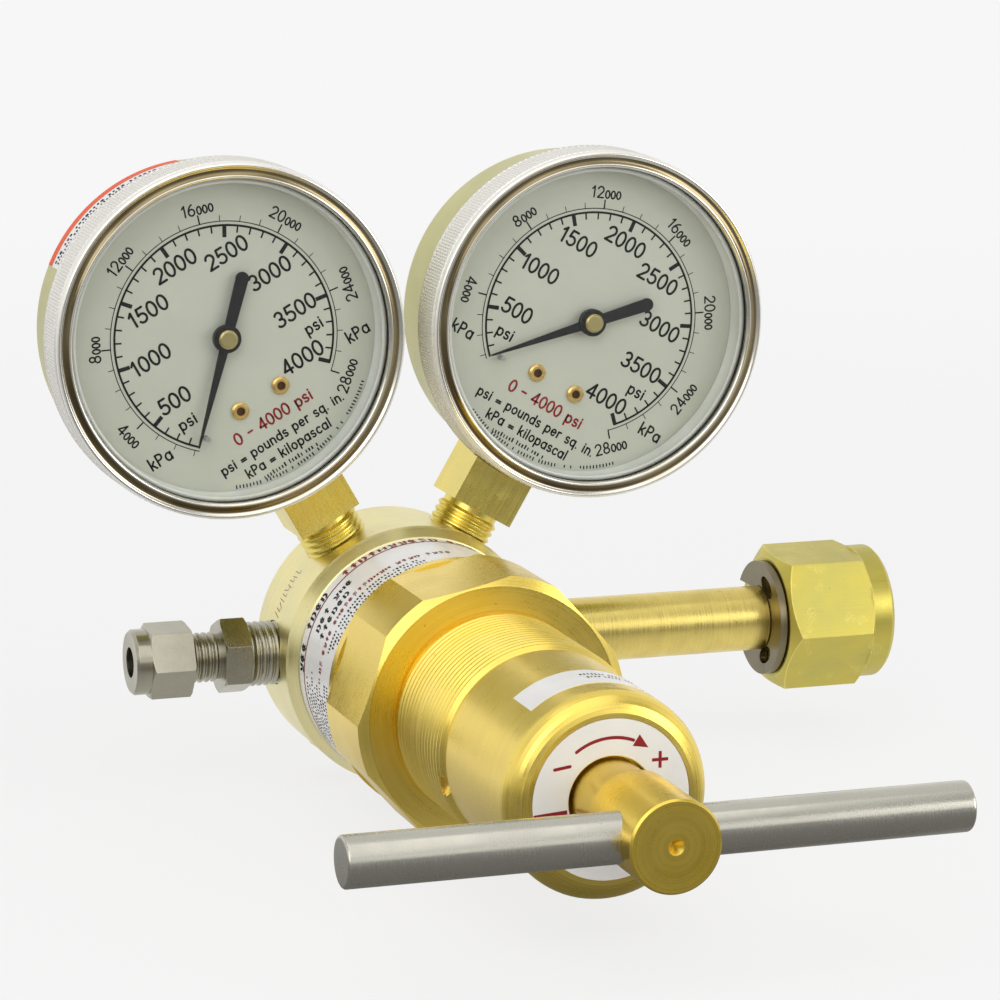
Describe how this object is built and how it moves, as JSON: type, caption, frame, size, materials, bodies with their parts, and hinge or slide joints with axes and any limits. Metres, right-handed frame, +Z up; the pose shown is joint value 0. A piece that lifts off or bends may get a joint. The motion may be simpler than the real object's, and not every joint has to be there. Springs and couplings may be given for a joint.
{
  "type": "high pressure regulator",
  "caption": "Brass high pressure gas regulator with dial gauges, T-bar adjusting screw, cylinder inlet nut and compression tube outlet.",
  "frame": {"origin": "middle of the parallel land of the inlet nipple's nose, on the inlet's axis", "axes": "+X out of the inlet towards the cylinder valve, -Y the bonnet's front, +Z up between the gauges"},
  "size_m": [0.1883, 0.1783, 0.1347],
  "materials": {
    "body_brass": "satin",
    "bonnet_brass": "satin",
    "label": "smooth",
    "screw_brass": "satin",
    "stainless": "satin",
    "steel": "satin",
    "seal": "matt",
    "fitting_brass": "satin",
    "washer": "matt",
    "dark_ring": "dull",
    "socket_brass": "satin",
    "case_lacquer": "satin",
    "chrome": "polished",
    "lens": "clear",
    "dial": "satin",
    "movement_brass": "satin",
    "pointer": "matt"
  },
  "bodies": {
    "regulator": {"body": "body_brass", "bonnet": "bonnet_brass", "body_label": "label", "front_label": "label", "bonnet_sticker": "label", "range_spring": "steel", "piston_seal": "seal", "piston_guide": "fitting_brass", "nozzle": "fitting_brass", "valve_spring": "steel", "port_plug_a": "fitting_brass", "port_plug_b": "fitting_brass", "inlet_nipple": "fitting_brass", "inlet_filter": "fitting_brass", "nut_ring": "dark_ring", "outlet_body": "stainless", "front_ferrule": "stainless", "left_socket": "socket_brass", "left_case": "case_lacquer", "left_bezel": "chrome", "left_lens": "lens", "left_gasket": "seal", "left_dial": "dial", "left_dial_screws": "movement_brass", "left_stop_pin": "steel", "left_bourdon": "movement_brass", "left_movement": "movement_brass", "left_sticker": "label", "right_socket": "socket_brass", "right_case": "case_lacquer", "right_bezel": "chrome", "right_lens": "lens", "right_gasket": "seal", "right_dial": "dial", "right_dial_screws": "movement_brass", "right_stop_pin": "steel", "right_bourdon": "movement_brass", "right_movement": "movement_brass"},
    "spring_button": {"upper_button": "steel"},
    "screw": {"adjusting_screw": "screw_brass", "t_bar": "stainless"},
    "valve": {"lower_button": "steel", "piston": "steel", "valve_stem": "steel"},
    "nut_slide": {"nut_washer": "washer"},
    "coupling_nut": {"inlet_nut": "fitting_brass"},
    "ferrule": {"back_ferrule": "stainless"},
    "tube_nut": {"outlet_nut": "stainless"},
    "left_needle": {"left_pointer": "pointer", "left_hub": "movement_brass", "left_pinion": "steel"},
    "left_quadrant": {"left_sector": "movement_brass"},
    "right_needle": {"right_pointer": "pointer", "right_hub": "movement_brass", "right_pinion": "steel"},
    "right_quadrant": {"right_sector": "movement_brass"}
  },
  "joints": [
    {"name": "screw_advance", "type": "slide", "parent": "regulator", "child": "spring_button", "axis": [0, 1, 0], "range_m": [0, 0.008], "deforming": ["range_spring"]},
    {"name": "screw_turn", "type": "hinge", "parent": "spring_button", "child": "screw", "pos_m": [-0.1036, -0.14, 0], "axis": [0, 1, 0], "range_deg": [0, 1800]},
    {"name": "valve_lift", "type": "slide", "parent": "regulator", "child": "valve", "axis": [0, 1, 0], "range_m": [0, 0.0008], "deforming": ["valve_spring"]},
    {"name": "nut_play", "type": "slide", "parent": "regulator", "child": "nut_slide", "axis": [1, 0, 0], "range_m": [0, 0.0018]},
    {"name": "nut_spin", "type": "hinge", "parent": "nut_slide", "child": "coupling_nut", "pos_m": [-0.01, 0, 0], "axis": [1, 0, 0], "continuous": true},
    {"name": "tube_nut_travel", "type": "slide", "parent": "regulator", "child": "ferrule", "axis": [-1, 0, 0], "range_m": [0, 0.00381]},
    {"name": "tube_nut_turn", "type": "hinge", "parent": "ferrule", "child": "tube_nut", "pos_m": [-0.1556, 0, 0], "axis": [-1, 0, 0], "range_deg": [0, 1080]},
    {"name": "left_reading", "type": "hinge", "parent": "regulator", "child": "left_needle", "pos_m": [-0.1437, 0, 0.06946], "axis": [0, 1, 0], "range_deg": [0, 270], "stiffness_Nm_per_rad": 0.0001, "springref_deg": -17.19},
    {"name": "left_quadrant_swing", "type": "hinge", "parent": "regulator", "child": "left_quadrant", "pos_m": [-0.1374, 0, 0.05854], "axis": [0, 1, 0], "range_deg": [-33.95, 0]},
    {"name": "right_reading", "type": "hinge", "parent": "regulator", "child": "right_needle", "pos_m": [-0.0635, 0, 0.06946], "axis": [0, 1, 0], "range_deg": [0, 270], "stiffness_Nm_per_rad": 0.0001, "springref_deg": -17.19},
    {"name": "right_quadrant_swing", "type": "hinge", "parent": "regulator", "child": "right_quadrant", "pos_m": [-0.0698, 0, 0.05854], "axis": [0, 1, 0], "range_deg": [-33.95, 0]}
  ],
  "couplings": [
    {"joint": "screw_advance", "follows": "screw_turn", "m_per_rad": 0.00025465},
    {"joint": "valve_lift", "follows": "screw_turn", "m_per_rad": 0.000025465},
    {"joint": "tube_nut_travel", "follows": "tube_nut_turn", "m_per_rad": 0.00020213},
    {"joint": "left_quadrant_swing", "follows": "left_reading", "ratio": -0.12556},
    {"joint": "right_quadrant_swing", "follows": "right_reading", "ratio": -0.12556}
  ]
}
